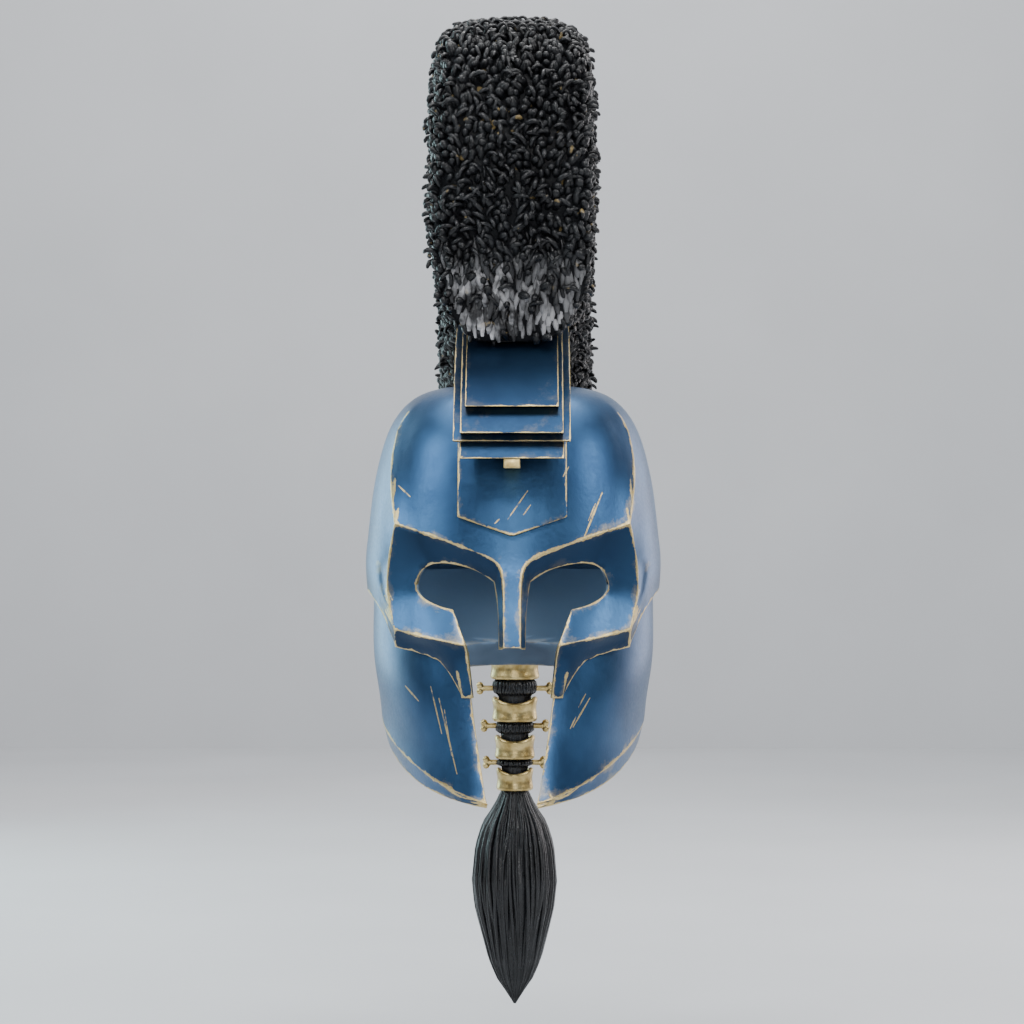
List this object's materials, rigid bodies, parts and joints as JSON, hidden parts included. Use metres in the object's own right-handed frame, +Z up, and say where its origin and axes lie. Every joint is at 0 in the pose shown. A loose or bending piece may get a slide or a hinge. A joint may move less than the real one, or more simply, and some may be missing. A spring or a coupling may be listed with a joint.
{
  "type": "greek bronze helmet",
  "caption": "Crested Corinthian-type helmet of dark blue metal with worn bronze edges, a tall black hair plume and a hair tail bound by bronze rings and pins.",
  "frame": {"origin": "inside of the crown, where the wearer's head carries the helmet", "axes": "+Z up, the face looks along -Y, +X is to the viewer's right of a viewer in front"},
  "size_m": [0.2202, 0.4044, 0.7502],
  "materials": {
    "blue_metal": "satin blued metal, edges worn to bronze",
    "bronze": "aged satin",
    "hair": "glossy black hair in locks"
  },
  "bodies": {
    "root": {"skull_mask": "blue_metal", "jaw_guard": "blue_metal", "forehead_plate": "blue_metal", "crest_holder": "blue_metal", "crest_peg_front": "bronze", "crest_peg_back": "bronze", "plume": "hair", "tail_hair": "hair", "tail_ring_1": "bronze", "tail_ring_2": "bronze", "tail_ring_3": "bronze", "tail_ring_4": "bronze", "tail_pin_1": "bronze", "tail_pin_2": "bronze", "tail_pin_3": "bronze"}
  },
  "joints": []
}
